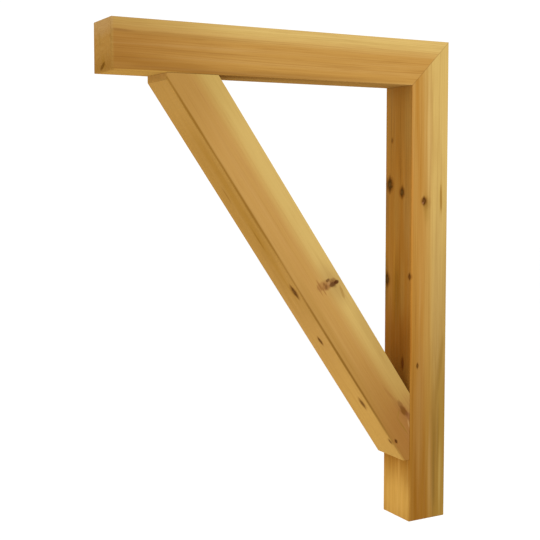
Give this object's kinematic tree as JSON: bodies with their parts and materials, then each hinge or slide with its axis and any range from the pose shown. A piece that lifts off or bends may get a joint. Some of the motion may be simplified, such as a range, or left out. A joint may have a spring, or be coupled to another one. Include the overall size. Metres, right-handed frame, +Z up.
{
  "type": "wooden bracket",
  "caption": "Right-angled wooden bracket: square arm and post mitred at the corner, with a straight diagonal brace between them.",
  "frame": {"origin": "centre of the post's wall face", "axes": "+X points into the wall, so the arm reaches out along -X; Y runs across the timbers; +Z is up along the post"},
  "size_m": [0.7112, 0.0888, 0.9652],
  "materials": {
    "arm_timber": "planed cedar-like softwood, oiled sheen",
    "post_timber": "planed cedar-like softwood, oiled sheen",
    "brace_timber": "planed cedar-like softwood, oiled sheen",
    "screw_steel": "passivated stainless steel"
  },
  "bodies": {
    "root": {"arm": "arm_timber", "post": "post_timber", "brace": "brace_timber", "mitre_screws": "screw_steel", "brace_screws": "screw_steel"}
  },
  "joints": []
}
